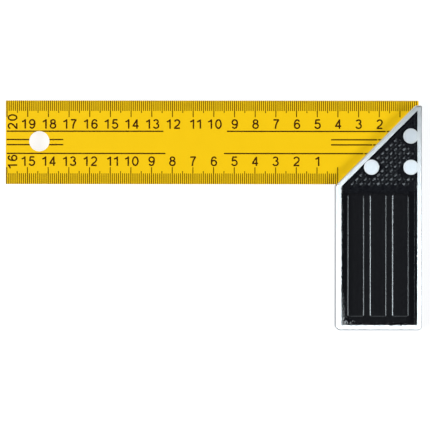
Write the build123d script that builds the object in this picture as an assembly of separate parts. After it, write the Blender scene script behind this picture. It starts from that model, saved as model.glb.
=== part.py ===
from build123d import *
import os
from math import cos, hypot, radians, sin, sqrt, tan

# Sizes are in millimetres. The square lies flat, printed face up, with +X along the blade towards the
# stock and +Y towards the blade's outer edge. Places are given from the square's outer corner, where the
# stock's outer face and the blade's outer edge would meet: so far in along the blade, so far down the stock.

# Blade: a strip of hardened steel, let into the stock, its end set back from the stock's outer face
blade_length = 199.6
blade_width = 40.4
blade_thickness = 1.2
blade_setback = 1.0
blade_corner_radius = 0.4

# Hole in the blade's free end, by which the square hangs on a hook
hang_hole_diameter = 9.8
hang_hole_from_end = 16.2
hang_hole_down = 19.7

# Stock: a one-piece die casting, mitred to just above the outer corner, with a slot sawn for the blade
stock_width = 41.2
stock_thickness = 14.0
stock_foot_down = 110.7
stock_tip_down = 2.6
mitre_angle = 45.0
mitre_lead = 0.34
foot_radius = 2.0
shoulder_radius = 0.8
tip_radius = 0.7
edge_radius = 0.6
slot_side_clearance = 0.05
slot_floor_clearance = 0.1

# Recess cast in each face of the stock, inside a rim that is ground bare
rim_outer = 2.2
rim_inner = 2.55
rim_foot = 2.55
rim_mitre = 2.25
recess_depth = 1.2
recess_draft = 1.0
recess_corner_radius = 0.6

# Flat grip ribs that stand in the recess below the mitre
rib_count = 3
rib_gap = 2.3
rib_outer_margin = 3.85
rib_inner_margin = 2.7
rib_shoulder_margin = 4.34
rib_foot_margin = 3.85
rib_sink = 0.3
rib_corner_radius = 0.9
rib_edge_radius = 0.8

# Low cast teeth that fill the recess behind the mitre, set cornerwise in staggered rows
tooth_pitch = 4.15
tooth_gap = 0.25
tooth_sink = 0.55
tooth_crown_radius = 2.7
tooth_mitre_margin = 0.0
tooth_boss_margin = 1.2
tooth_overrun = 1.5
tooth_shift = 0.92

# Rivets through the stock's two cheeks and the blade, set flush in round bosses
rivet_shank_diameter = 4.0
rivet_head_spread = 0.8
rivet_head_angle = 90.0
rivet_clearance = 0.03
rivet_blade_edge_distance = 8.1
rivet_pitch = 15.0
boss_wall = 0.85
boss_draft = 0.15
boss_outer_land = 1.65
boss_mitre_land = 2.32

# Most of a wall or of a sharper corner that a rounding beside it may take up
fillet_share = 0.9

# Worked out from the sizes above
overall_length = blade_setback + blade_length
mid_plane = Plane.XY.offset(stock_thickness / 2)
shoulder_down = stock_width / tan(radians(mitre_angle)) - mitre_lead
recess_inner = stock_width - rim_inner
recess_foot = stock_foot_down - rim_foot
recess_floor = stock_thickness - recess_depth
rib_outer = rim_outer + rib_outer_margin
rib_inner = recess_inner - rib_inner_margin
rib_width = (rib_inner - rib_outer - (rib_count - 1) * rib_gap) / rib_count
rib_height = recess_depth - rib_sink
tooth_base = tooth_pitch / sqrt(2) - tooth_gap
tooth_height = recess_depth - tooth_sink
rivet_head_diameter = rivet_shank_diameter + 2 * rivet_head_spread
rivet_head_depth = rivet_head_spread / tan(radians(rivet_head_angle / 2))
boss_radius = rivet_head_diameter / 2 + boss_wall


def place(inward, down, height=0.0):
    """The point so far in and down from the square's outer corner, at a height above the rest face."""
    return Vector(overall_length / 2 - inward, stock_foot_down / 2 - down, height)


def mitre_depth(inward, down):
    """Distance from a point back to the mitre face, square to that face."""
    return (down + mitre_lead) * sin(radians(mitre_angle)) - inward * cos(radians(mitre_angle))


def in_at_depth(down, depth):
    """How far in a line lies, so far down the stock, that runs at a depth behind the mitre face."""
    return ((down + mitre_lead) * sin(radians(mitre_angle)) - depth) / cos(radians(mitre_angle))


def down_at_depth(inward, depth):
    """How far down that line lies, so far in along the blade."""
    return (inward * cos(radians(mitre_angle)) + depth) / sin(radians(mitre_angle)) - mitre_lead


def outline(corners):
    """A face from (in, down, corner radius) rows, with each corner rounded by its radius."""
    face = Polygon(*[place(inward, down) for inward, down, _ in corners], align=None)
    for inward, down, radius in corners:
        corner = face.vertices().sort_by_distance(place(inward, down))[0]
        face = fillet(corner, radius)
    return face


def rivet_places():
    """Where each rivet goes through, as (in, down), by the rivet's name."""
    low_row = blade_width - rivet_blade_edge_distance
    outer_line = boss_outer_land + boss_radius
    inset = boss_mitre_land + boss_radius
    inner_line = min(in_at_depth(low_row, inset), stock_width - inset)
    return {
        "rivet_top": (outer_line, low_row - rivet_pitch),
        "rivet_outer": (outer_line, low_row),
        "rivet_inner": (inner_line, low_row),
    }


def rivet_form(clearance=0.0):
    """A rivet with a countersunk head set at each end, or the hole for it when given a clearance."""
    shank = rivet_shank_diameter / 2 + clearance
    head = rivet_head_diameter / 2 + clearance
    profile = Polyline(
        (0, 0, 0),
        (head, 0, 0),
        (shank, 0, rivet_head_depth),
        (shank, 0, stock_thickness - rivet_head_depth),
        (head, 0, stock_thickness),
        (0, 0, stock_thickness),
        close=True,
    )
    return revolve(make_face(profile), Axis.Z)


def tooth_places():
    """Where the teeth stand, as (in, down), in staggered rows that follow the mitre."""
    row_step = tooth_pitch / 2
    last_row = shoulder_down + tooth_overrun - row_step
    middle = (rib_outer + rib_inner) / 2 - tooth_shift
    columns = int(stock_width / tooth_pitch) + 1
    places = []
    for row in range(int(last_row / row_step)):
        stagger = row_step * (row % 2)
        for column in range(-columns, columns + 1):
            spot = (middle + stagger + column * tooth_pitch, last_row - row * row_step)
            if tooth_fits(*spot):
                places.append(spot)
    return places


def tooth_fits(inward, down):
    """Whether a tooth has room: whole inside the rim, and standing off the bosses by its middle."""
    reach = tooth_base / sqrt(2)
    in_rim = rim_outer + reach < inward < recess_inner - reach
    mitre_room = mitre_depth(inward, down) - rim_mitre - recess_draft - tooth_base / 2
    boss_room = min(hypot(inward - at[0], down - at[1]) for at in rivet_places().values()) - boss_radius
    return in_rim and mitre_room > tooth_mitre_margin and boss_room > tooth_boss_margin


def teeth():
    """The cast teeth, each a square block turned cornerwise on the recess floor, with a domed crown."""
    on_floor = (Align.CENTER, Align.CENTER, Align.MIN)
    block = Rot(0, 0, 45) * Box(tooth_base, tooth_base, tooth_height, align=on_floor)
    crown = Pos(0, 0, tooth_height - tooth_crown_radius) * Sphere(tooth_crown_radius)
    tooth = block & crown
    return [Pos(place(*spot, recess_floor)) * tooth for spot in tooth_places()]


def ribs():
    """The flat grip ribs, rounded along their upper edges."""
    top = shoulder_down + rib_shoulder_margin
    length = recess_foot - rib_foot_margin - top
    block = extrude(RectangleRounded(rib_width, length, rib_corner_radius), rib_height)
    radius = min(rib_edge_radius, fillet_share * rib_height, fillet_share * rib_corner_radius)
    rib = fillet(block.faces().sort_by(Axis.Z)[-1].edges(), radius)
    first = rib_outer + rib_width / 2
    step = rib_width + rib_gap
    return [Pos(place(first + n * step, top + length / 2, recess_floor)) * rib for n in range(rib_count)]


def bosses():
    """The round bosses that carry the rivets' heads up level with the rim."""
    on_floor = (Align.CENTER, Align.CENTER, Align.MIN)
    boss = Cone(boss_radius + boss_draft, boss_radius, recess_depth, align=on_floor)
    return [Pos(place(*spot, recess_floor)) * boss for spot in rivet_places().values()]


def recess_outline(inset=0.0):
    """The recess as it shows in the stock's face, or drawn in by an inset all round."""
    outer = rim_outer + inset
    inner = recess_inner - inset
    foot = recess_foot - inset
    return outline([
        (outer, down_at_depth(outer, rim_mitre + inset), recess_corner_radius),
        (inner, down_at_depth(inner, rim_mitre + inset), recess_corner_radius),
        (inner, foot, recess_corner_radius),
        (outer, foot, recess_corner_radius),
    ])


def stock_half():
    """The stock above its middle plane: the body, its recess and what stands in the recess."""
    body = outline([
        (0, stock_tip_down, tip_radius),
        (in_at_depth(stock_tip_down, 0), stock_tip_down, tip_radius),
        (stock_width, shoulder_down, shoulder_radius),
        (stock_width, stock_foot_down, foot_radius),
        (0, stock_foot_down, foot_radius),
    ])
    mouth = Pos(0, 0, stock_thickness) * recess_outline()
    floor = Pos(0, 0, recess_floor) * recess_outline(recess_draft)
    half = extrude(Pos(0, 0, stock_thickness / 2) * body, stock_thickness / 2)
    top_radius = min(edge_radius, fillet_share * min(tip_radius, shoulder_radius, foot_radius))
    half = fillet(half.faces().sort_by(Axis.Z)[-1].edges(), top_radius)
    half -= loft([floor.face(), mouth.face()], ruled=True)
    return half + bosses() + ribs() + teeth()


def stock():
    """The whole stock: two like halves in one casting, slotted for the blade and bored for the rivets."""
    half = stock_half()
    casting = half + mirror(half, about=mid_plane)
    slot_floor = blade_width + slot_floor_clearance
    slot_width = blade_thickness + 2 * slot_side_clearance
    slot_middle = place(stock_width / 2, slot_floor / 2, stock_thickness / 2)
    slot = Pos(slot_middle) * Box(2 * stock_width, slot_floor, slot_width)
    holes = [Pos(place(*spot)) * rivet_form(rivet_clearance) for spot in rivet_places().values()]
    return casting - slot - holes


def blade():
    """The steel blade, with its hanging hole and the holes for the rivets."""
    strip = RectangleRounded(blade_length, blade_width, blade_corner_radius)
    hanging = Circle(hang_hole_diameter / 2)
    riveted = Circle(rivet_shank_diameter / 2 + rivet_clearance)
    middle = blade_setback + blade_length / 2
    free_end = blade_setback + blade_length
    face = Pos(place(middle, blade_width / 2)) * strip
    face -= Pos(place(free_end - hang_hole_from_end, hang_hole_down)) * hanging
    face -= [Pos(place(*spot)) * riveted for spot in rivet_places().values()]
    underside = (stock_thickness - blade_thickness) / 2
    return extrude(Pos(0, 0, underside) * face, blade_thickness)


os.makedirs("parts", exist_ok=True)
export_step(stock(), "parts/stock.step")
export_step(blade(), "parts/blade.step")
for name, spot in rivet_places().items():
    export_step(Pos(place(*spot)) * rivet_form(), f"parts/{name}.step")
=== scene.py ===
"""The looks of the angle square: its finishes, its printed scales and a plain studio round it.

Sizes are in millimetres unless a name or a comment says otherwise. As on the bench, places are given from
the square's outer corner, where the stock's outer face and the blade's outer edge would meet: so far in
along the blade, and so far down the stock.
"""

from __future__ import annotations

import logging
import math
from dataclasses import dataclass, field
from enum import Enum
from typing import Any, ClassVar, Iterator

import bmesh
import bpy
from mathutils import Matrix, Vector
from mathutils.geometry import delaunay_2d_cdt

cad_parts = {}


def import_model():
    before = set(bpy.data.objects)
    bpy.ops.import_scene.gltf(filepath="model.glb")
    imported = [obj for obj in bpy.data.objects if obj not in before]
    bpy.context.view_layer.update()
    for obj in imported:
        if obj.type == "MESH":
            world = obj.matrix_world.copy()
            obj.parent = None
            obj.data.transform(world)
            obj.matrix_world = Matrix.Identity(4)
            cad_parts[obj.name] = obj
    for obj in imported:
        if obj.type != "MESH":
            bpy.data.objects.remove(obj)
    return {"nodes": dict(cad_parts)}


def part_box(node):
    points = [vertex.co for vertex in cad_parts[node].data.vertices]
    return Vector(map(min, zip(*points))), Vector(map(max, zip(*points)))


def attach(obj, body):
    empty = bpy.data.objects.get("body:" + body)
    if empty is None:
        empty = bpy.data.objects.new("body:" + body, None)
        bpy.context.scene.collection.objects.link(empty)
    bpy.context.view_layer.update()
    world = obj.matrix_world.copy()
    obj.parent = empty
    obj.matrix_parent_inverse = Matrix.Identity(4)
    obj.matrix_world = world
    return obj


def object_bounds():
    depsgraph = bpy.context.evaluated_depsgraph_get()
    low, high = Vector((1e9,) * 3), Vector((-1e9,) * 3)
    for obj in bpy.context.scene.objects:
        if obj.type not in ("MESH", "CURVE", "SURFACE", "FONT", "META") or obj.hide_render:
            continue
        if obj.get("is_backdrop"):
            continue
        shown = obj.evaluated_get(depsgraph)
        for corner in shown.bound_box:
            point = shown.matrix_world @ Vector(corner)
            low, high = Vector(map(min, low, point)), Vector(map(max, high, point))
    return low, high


LOG = logging.getLogger("angle_square")
MM = 0.001
CENTIMETRE = 10.0
QUARTER_TURN = 90.0
GROOVE_DETAIL = 3.0
PHOTO_PIXELS = 430
BODY = "root"
WHITE = "#ffffff"

Point = tuple[float, float]
Size = tuple[float, float, float]
Colour = tuple[float, float, float, float]
Wall = tuple[Vector, float]
Boss = tuple[Vector, float]
Tree = bpy.types.NodeTree
Socket = bpy.types.NodeSocket


def linear(hex_colour: str) -> Colour:
    """Turns an sRGB colour into the linear one that shaders and lights take.

    Args:
        hex_colour: The colour as #rrggbb.

    Returns:
        Linear red, green and blue, and an alpha of 1.
    """
    shares = [int(hex_colour[start:start + 2], 16) / 255 for start in (1, 3, 5)]
    red, green, blue = [s / 12.92 if s <= 0.04045 else ((s + 0.055) / 1.055) ** 2.4 for s in shares]
    return (red, green, blue, 1.0)


def wire(tree: Tree, node: bpy.types.Node, wires: dict[Any, Any]) -> None:
    """Links or sets a node's inputs.

    A Mix node's inputs share their names, so they go by number: 0 is the share of the second of the two,
    2 and 3 are two numbers, and 6 and 7 are two colours, whose mixture is output 2.

    Args:
        tree: The tree that the node is in.
        node: The node.
        wires: What goes into each input, by its name or number: a socket to link, or a plain value.
    """
    for key, value in wires.items():
        if isinstance(value, Socket):
            tree.links.new(value, node.inputs[key])
        else:
            node.inputs[key].default_value = value


def add_node(tree: Tree, kind: str, wires: dict[Any, Any], **settings: Any) -> bpy.types.Node:
    """Adds one node to a tree, with its settings, values and links.

    Args:
        tree: The shader or geometry tree.
        kind: The node's type name.
        wires: What goes into its inputs, as in wire().
        **settings: The node's own properties.

    Returns:
        The new node.
    """
    node = tree.nodes.new(kind)
    for name, value in settings.items():
        setattr(node, name, value)
    wire(tree, node, wires)
    return node


def new_material(name: str) -> tuple[bpy.types.Material, Tree, Socket]:
    """Makes a material with a plain shader to build on.

    Args:
        name: The material's name.

    Returns:
        The material, its tree, and the point in the piece's own frame.
    """
    material = bpy.data.materials.new(name)
    material.use_nodes = True
    tree = material.node_tree
    return material, tree, add_node(tree, "ShaderNodeTexCoord", {}).outputs["Object"]


def grooves(tree: Tree, where: Socket, size: Size, grain: float) -> Socket:
    """Draws a pattern of fine grooves.

    Args:
        tree: The material's tree.
        where: The point.
        size: About how large each is along X, Y and Z.
        grain: How strong the finer ones among them are.

    Returns:
        The pattern, from 0 to 1.
    """
    run = add_node(tree, "ShaderNodeMapping", {
        "Vector": where, "Scale": [1.0 / (side * MM) for side in size]})
    return add_node(tree, "ShaderNodeTexNoise", {
        "Vector": run.outputs[0], "Scale": 1.0, "Detail": GROOVE_DETAIL, "Roughness": grain}).outputs["Fac"]


def add_object(name: str, mesh: bpy.types.Mesh) -> bpy.types.Object:
    """Puts a mesh into the scene as an object at the origin.

    Args:
        name: The name of the object and of its mesh.
        mesh: The mesh, with its place already in its points.

    Returns:
        The new object.
    """
    mesh.name = name
    thing = bpy.data.objects.new(name, mesh)
    bpy.context.scene.collection.objects.link(thing)
    return thing


@dataclass(frozen=True)
class Bench:
    """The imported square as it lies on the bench, and the two directions that places are measured in.

    Args:
        low: Lowest corner of the square's box, in metres.
        high: Highest corner of that box.
        nodes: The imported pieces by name.
    """

    low: Vector
    high: Vector
    nodes: dict[str, bpy.types.Object]

    def place(self, inward: float, down: float, height: float = 0.0) -> Vector:
        """Gives a point in metres from its distances in, down and up.

        Args:
            inward: Distance in from the stock's outer face.
            down: Distance down from the blade's outer edge.
            height: Height above the face that the square lies on.

        Returns:
            The point in the part's own frame.
        """
        return Vector((self.high.x - inward * MM, self.high.y - down * MM, height * MM))


class Face(Enum):
    """The two printed faces of the blade."""

    FRONT = "front"
    BACK = "back"


class Edge(Enum):
    """The two edges of the blade that carry a scale."""

    OUTER = "outer"
    INNER = "inner"


@dataclass(frozen=True)
class CastForm:
    """Where the forms of the stock's faces lie, for its finish to follow.

    A wall is given as the direction from it into the recess and where it starts along that. All lengths here
    are in metres.

    Args:
        outer: The recess's wall along the outer face.
        inner: Its wall along the inner face.
        foot: Its wall along the foot.
        mitre: Its wall along the mitre.
        bosses: Each round boss in the recess, as its centre and its radius.
        corner: The corner of the recess where the enamel is rubbed through most.
        middle: Height of the stock's middle plane.
        floor: How far the recess's floor lies from that plane.
        tooth: Middle of one of the cast teeth.
        tooth_pitch: Distance from tooth to tooth along a row.
        tooth_turn: How far the teeth are turned from square to the stock, in degrees.
        teeth_foot: Where the teeth end along Y.
    """

    outer: Wall
    inner: Wall
    foot: Wall
    mitre: Wall
    bosses: list[Boss]
    corner: Vector
    middle: float
    floor: float
    tooth: Vector
    tooth_pitch: float
    tooth_turn: float
    teeth_foot: float


@dataclass(frozen=True)
class Surface:
    """One of the looks that a material mixes.

    Args:
        colour: Its colour.
        roughness: Its roughness.
        height: Its fine relief, in metres.
    """

    colour: Socket
    roughness: Socket
    height: Socket


@dataclass(frozen=True)
class StockFinish:
    """Zinc die casting, enamelled black in its recesses, then linished bare on every face that stands proud.

    Linishing leaves the zinc a pale grey with fine grooves along the belt's run, so its highlights spread out
    across the grooves and it is bright but never a mirror. The upright faces have faint level streaks, and
    the inner and outer ones were milled: these and their rounded edges are painted darker, partly for the
    milling and partly as painted shade along the stock's sides. The enamel was sprayed on thick over rough
    metal: it is glossy, with slow lumps that break its highlights up. Along the side walls and on the teeth
    the spray fell dry, so it is duller there. Round the teeth the enamel is painted lighter, in patches, as
    painted sheen of the teeth's scattered highlights. It ran together at the foot of the outer wall. The
    teeth came out of the mould slanting, so each catches the light along one edge. The belt cut the enamel
    off clean along the mitre, the outer face and the bosses, but left it ragged along the inner face and the
    foot. Specks of rough cast zinc show where it is thin, along those two and most of all in the corner that
    a hand rubs.
    """

    # Colours
    zinc: str = "#d4d3d2"
    zinc_groove: str = "#c2c1c1"
    zinc_grazing: str = "#fafafa"
    # Painted shade, in part: the milled inner and outer faces and their rounded edges are coloured darker
    # than the linished zinc
    milled_zinc: str = "#abacae"
    milled_streak: str = "#9b9b9d"
    enamel: str = "#07070b"
    # Painted sheen: round the teeth the enamel is coloured lighter, in random patches, standing in for the
    # teeth's scattered highlights
    teeth_enamel: str = "#0c0c10"
    teeth_dust: str = "#1a1a1d"

    # Gloss, as roughness and as level of reflection, and where one gloss passes into another
    zinc_roughness: tuple[float, float] = (0.27, 0.295)
    milled_roughness: float = 0.38
    cast_roughness: float = 0.65
    enamel_roughness: tuple[float, float] = (0.18, 0.28)
    teeth_roughness: tuple[float, float] = (0.14, 0.24)
    enamel_specular: float = 0.93
    side_specular: float = 0.4
    teeth_specular: float = 0.19
    side_reach: tuple[float, float] = (3.0, 6.0)
    teeth_blend: float = 3.0
    belt_tilt: tuple[float, float] = (0.5, 0.9)
    milled_lean: tuple[float, float] = (0.1, 0.4)

    # Grooves of the belt and streaks of the cutter, much coarser than the real ones, so that they show
    belt_run: Size = (0.01, 1.0, 0.05)
    groove_size: Size = (0.35, 14.0, 0.35)
    streak_size: Size = (16.0, 16.0, 0.8)
    groove_grain: float = 0.6
    groove_depth: float = 0.002

    # The range that nearly all of a pattern lies in, and how strong the finer layers of the enamel's are
    pattern_spread: tuple[float, float] = (0.3, 0.7)
    pattern_grain: float = 0.55

    # Relief of the enamel: its lumps, the slant of the teeth's crowns, and where it ran together
    lump_size: float = 1.1
    lump_detail: float = 2.0
    lump_height: float = 0.055
    teeth_lump_height: float = 0.17
    crown_slant: float = 0.25
    crown_flatness: float = 0.85
    crown_radius: float = 2.7
    crown_rise: float = 0.06
    pool_start: float = 1.2
    pool_width: float = 0.16
    pool_slope: float = 0.4

    # Wear of the enamel: its edge, the specks along it, and the corner that is rubbed
    ragged_size: float = 1.1
    ragged_detail: float = 4.0
    ragged_reach: float = 0.9
    clean_reach: float = 0.1
    edge_softness: float = 0.06
    speck_size: float = 0.45
    speck_detail: float = 1.0
    speck_reach: float = 2.4
    speck_share: tuple[float, float] = (0.59, 0.86)
    speck_softness: float = 0.05
    rub_reach: tuple[float, float] = (8.0, 18.0)
    rub_share: float = 0.29

    def material(self, form: CastForm) -> bpy.types.Material:
        """Builds the stock's material.

        Args:
            form: Where the forms of the stock's faces lie.

        Returns:
            The material.
        """
        material, tree, where = new_material("linished_zinc_and_black_enamel")
        facing = add_node(tree, "ShaderNodeNewGeometry", {}).outputs["Normal"]
        flat = add_node(tree, "ShaderNodeVectorMath", {0: where, 1: (1.0, 1.0, 0.0)},
                        operation="MULTIPLY").outputs[0]
        clean = self._recess_depth(tree, flat, [form.outer, form.mitre], form.bosses)
        ragged = self._recess_depth(tree, flat, [form.inner, form.foot], [])
        covered = self._covered(tree, where, clean, ragged)
        worn = self._worn(tree, where, ragged, self._rubbed(tree, flat, form.corner))
        painted = add_node(tree, "ShaderNodeMath", {0: covered, 1: worn}, operation="SUBTRACT",
                           use_clamp=True).outputs[0]
        belted = self._belted(tree, facing, covered)
        toothed = self._toothed(tree, where, form.teeth_foot)
        bare = self._zinc(tree, where, covered, belted, self._milled(tree, facing, covered))
        paint = self._enamel(tree, where, flat, toothed, form)

        colour = add_node(tree, "ShaderNodeMix", {0: painted, 6: bare.colour, 7: paint.colour},
                          data_type="RGBA")
        rough = add_node(tree, "ShaderNodeMix", {0: painted, 2: bare.roughness, 3: paint.roughness})
        height = add_node(tree, "ShaderNodeMix", {0: painted, 2: bare.height, 3: paint.height})
        bump = add_node(tree, "ShaderNodeBump", {"Height": height.outputs[0], "Distance": 1.0})
        metal = add_node(tree, "ShaderNodeMath", {0: 1.0, 1: painted}, operation="SUBTRACT").outputs[0]
        grooved = add_node(tree, "ShaderNodeMath", {0: metal, 1: belted}, operation="MULTIPLY")
        across = add_node(tree, "ShaderNodeVectorMath", {0: self.belt_run, 1: facing},
                          operation="CROSS_PRODUCT")
        wire(tree, tree.nodes["Principled BSDF"], {
            "Base Color": colour.outputs[2],
            "Roughness": rough.outputs[0],
            "Metallic": metal,
            "Normal": bump.outputs[0],
            "Tangent": across.outputs[0],
            "Anisotropic": grooved.outputs[0],
            "Specular IOR Level": self._gloss(tree, flat, toothed, form),
            "Specular Tint": linear(self.zinc_grazing),
        })
        return material

    def _zinc(self, tree: Tree, where: Socket, covered: Socket, belted: Socket, milled: Socket) -> Surface:
        """Builds the bare metal: grooved where the belt ran, streaked on upright faces, rough where cast,
        darker where milled, partly as painted shade.

        Args:
            tree: The material's tree.
            where: The point.
            covered: Where the belt left the enamel, under which the metal is as cast.
            belted: Where the belt ran.
            milled: Where the cutter ran, and where the zinc is painted darker, partly as painted shade.

        Returns:
            The metal's look.
        """
        low, high = self.pattern_spread
        streak = add_node(tree, "ShaderNodeMapRange", {
            "Value": grooves(tree, where, self.streak_size, self.groove_grain),
            "From Min": low, "From Max": high})
        belt_groove = grooves(tree, where, self.groove_size, self.groove_grain)
        groove = add_node(tree, "ShaderNodeMix", {0: belted, 2: streak.outputs[0], 3: belt_groove}).outputs[0]
        pale = add_node(tree, "ShaderNodeMix", {0: groove, 6: linear(self.zinc_groove), 7: linear(self.zinc)},
                        data_type="RGBA")
        # The milled colours are darker, partly as painted shade along the stock's sides
        cut = add_node(tree, "ShaderNodeMix", {
            0: groove, 6: linear(self.milled_streak), 7: linear(self.milled_zinc)}, data_type="RGBA")
        colour = add_node(tree, "ShaderNodeMix", {0: milled, 6: pale.outputs[2], 7: cut.outputs[2]},
                          data_type="RGBA")
        belt_rough = add_node(tree, "ShaderNodeMapRange", {
            "Value": groove, "To Min": self.zinc_roughness[1], "To Max": self.zinc_roughness[0]})
        cut_rough = add_node(tree, "ShaderNodeMix", {
            0: belted, 2: self.milled_roughness, 3: belt_rough.outputs[0]})
        rough = add_node(tree, "ShaderNodeMix", {0: covered, 2: cut_rough.outputs[0], 3: self.cast_roughness})
        height = add_node(tree, "ShaderNodeMath", {0: groove, 1: self.groove_depth * MM},
                          operation="MULTIPLY")
        return Surface(colour.outputs[2], rough.outputs[0], height.outputs[0])

    def _enamel(self, tree: Tree, where: Socket, flat: Socket, toothed: Socket, form: CastForm) -> Surface:
        """Builds the enamel: smooth and lumpy in the recess, duller round the teeth and painted lighter there
        in patches as painted sheen.

        Args:
            tree: The material's tree.
            where: The point.
            flat: The point, laid down on the bench.
            toothed: Where the teeth stand.
            form: Where the forms of the stock's faces lie.

        Returns:
            The enamel's look.
        """
        low, high = self.pattern_spread
        lump = add_node(tree, "ShaderNodeTexNoise", {
            "Vector": where, "Scale": 1.0 / (self.lump_size * MM), "Detail": self.lump_detail,
            "Roughness": self.pattern_grain}).outputs["Fac"]
        patch = add_node(tree, "ShaderNodeMapRange", {"Value": lump, "From Min": low, "From Max": high})
        # Painted sheen: lighter patches of enamel round the teeth
        sheen_patches = add_node(tree, "ShaderNodeMix", {
            0: patch.outputs[0], 6: linear(self.teeth_enamel), 7: linear(self.teeth_dust)}, data_type="RGBA")
        colour = add_node(tree, "ShaderNodeMix", {0: toothed, 6: linear(self.enamel), 7: sheen_patches.outputs[2]},
                          data_type="RGBA")
        smooth = add_node(tree, "ShaderNodeMapRange", {
            "Value": lump, "To Min": self.enamel_roughness[0], "To Max": self.enamel_roughness[1]})
        dull = add_node(tree, "ShaderNodeMapRange", {
            "Value": lump, "To Min": self.teeth_roughness[0], "To Max": self.teeth_roughness[1]})
        rough = add_node(tree, "ShaderNodeMix", {0: toothed, 2: smooth.outputs[0], 3: dull.outputs[0]})
        lump_height = add_node(tree, "ShaderNodeMix", {
            0: toothed, 2: self.lump_height * MM, 3: self.teeth_lump_height * MM})
        pool = self._pooled(tree, self._recess_depth(tree, flat, [form.outer], []))
        formed = add_node(tree, "ShaderNodeMath", {0: toothed, 1: self._crowns(tree, where, form), 2: pool},
                          operation="MULTIPLY_ADD")
        height = add_node(tree, "ShaderNodeMath", {
            0: lump, 1: lump_height.outputs[0], 2: formed.outputs[0]}, operation="MULTIPLY_ADD")
        return Surface(colour.outputs[2], rough.outputs[0], height.outputs[0])

    def _gloss(self, tree: Tree, flat: Socket, toothed: Socket, form: CastForm) -> Socket:
        """Gives the enamel's level of reflection, lower on the teeth and along the side walls.

        Args:
            tree: The material's tree.
            flat: The point, laid down on the bench.
            toothed: Where the teeth stand.
            form: Where the forms of the stock's faces lie.

        Returns:
            The level.
        """
        side_depth = self._recess_depth(tree, flat, [form.outer, form.inner], [])
        clear = add_node(tree, "ShaderNodeMapRange", {
            "Value": side_depth, "From Min": self.side_reach[0] * MM, "From Max": self.side_reach[1] * MM,
            "To Min": self.side_specular, "To Max": self.enamel_specular})
        return add_node(tree, "ShaderNodeMix", {
            0: toothed, 2: clear.outputs[0], 3: self.teeth_specular}).outputs[0]

    def _crowns(self, tree: Tree, where: Socket, form: CastForm) -> Socket:
        """Gives the height by which each tooth's domed crown is slanted, and flattened along its lower half.

        Args:
            tree: The material's tree.
            where: The point.
            form: Where the forms of the stock's faces lie.

        Returns:
            The height in metres, 0 off the teeth.
        """
        from_tooth = add_node(tree, "ShaderNodeVectorMath", {0: where, 1: form.tooth}, operation="SUBTRACT")
        turn = math.radians(form.tooth_turn)
        turned = add_node(tree, "ShaderNodeMapping", {
            "Vector": from_tooth.outputs[0], "Rotation": (0.0, 0.0, -turn)})
        reach = form.tooth_pitch * math.cos(turn) / 2
        on_tooth = add_node(tree, "ShaderNodeVectorMath", {
            0: turned.outputs[0], 1: (reach, reach, reach), 2: (-reach, -reach, -reach)}, operation="WRAP")
        along = add_node(tree, "ShaderNodeSeparateXYZ", {0: on_tooth.outputs[0]}).outputs["X"]
        lower = add_node(tree, "ShaderNodeMath", {0: along, 1: 0.0}, operation="MINIMUM").outputs[0]
        square = add_node(tree, "ShaderNodeMath", {0: lower, 1: lower}, operation="MULTIPLY").outputs[0]
        bend = self.crown_flatness / (2 * self.crown_radius * MM)
        flattened = add_node(tree, "ShaderNodeMath", {0: square, 1: bend}, operation="MULTIPLY").outputs[0]
        height = add_node(tree, "ShaderNodeMath", {0: along, 1: self.crown_slant, 2: flattened},
                          operation="MULTIPLY_ADD").outputs[0]
        level = add_node(tree, "ShaderNodeSeparateXYZ", {0: where}).outputs["Z"]
        rise = add_node(tree, "ShaderNodeMath", {0: level, 1: form.middle}, operation="SUBTRACT").outputs[0]
        away = add_node(tree, "ShaderNodeMath", {0: rise}, operation="ABSOLUTE").outputs[0]
        proud = add_node(tree, "ShaderNodeMath", {0: away, 1: form.floor + self.crown_rise * MM},
                         operation="GREATER_THAN").outputs[0]
        return add_node(tree, "ShaderNodeMath", {0: height, 1: proud}, operation="MULTIPLY").outputs[0]

    def _pooled(self, tree: Tree, depth: Socket) -> Socket:
        """Gives the height of the enamel that ran together at the foot of a wall.

        Args:
            tree: The material's tree.
            depth: Distance from the wall's upper edge, in metres.

        Returns:
            The height in metres.
        """
        near = add_node(tree, "ShaderNodeMapRange", {
            "Value": depth, "From Min": self.pool_start * MM,
            "From Max": (self.pool_start + self.pool_width) * MM, "To Min": 1.0, "To Max": 0.0}).outputs[0]
        hollow = add_node(tree, "ShaderNodeMath", {0: near, 1: near}, operation="MULTIPLY").outputs[0]
        rise = self.pool_slope * self.pool_width / 2 * MM
        return add_node(tree, "ShaderNodeMath", {0: hollow, 1: rise}, operation="MULTIPLY").outputs[0]

    def _recess_depth(self, tree: Tree, flat: Socket, walls: list[Wall], bosses: list[Boss]) -> Socket:
        """Measures how far a point lies inside some of the recess's walls and off some bosses.

        Args:
            tree: The material's tree.
            flat: The point, laid down on the bench.
            walls: The walls, as in CastForm.
            bosses: The bosses, as in CastForm.

        Returns:
            The distance in metres, negative on the bare faces.
        """
        edges = [(direction, start, "DOT_PRODUCT") for direction, start in walls]
        edges += [(centre, radius, "DISTANCE") for centre, radius in bosses]
        gaps = []
        for vector, edge, measure in edges:
            reach = add_node(tree, "ShaderNodeVectorMath", {0: flat, 1: vector}, operation=measure)
            gaps.append(add_node(tree, "ShaderNodeMath", {0: reach.outputs["Value"], 1: edge},
                                 operation="SUBTRACT").outputs[0])
        least = gaps[0]
        for gap in gaps[1:]:
            least = add_node(tree, "ShaderNodeMath", {0: least, 1: gap}, operation="MINIMUM").outputs[0]
        return least

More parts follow.
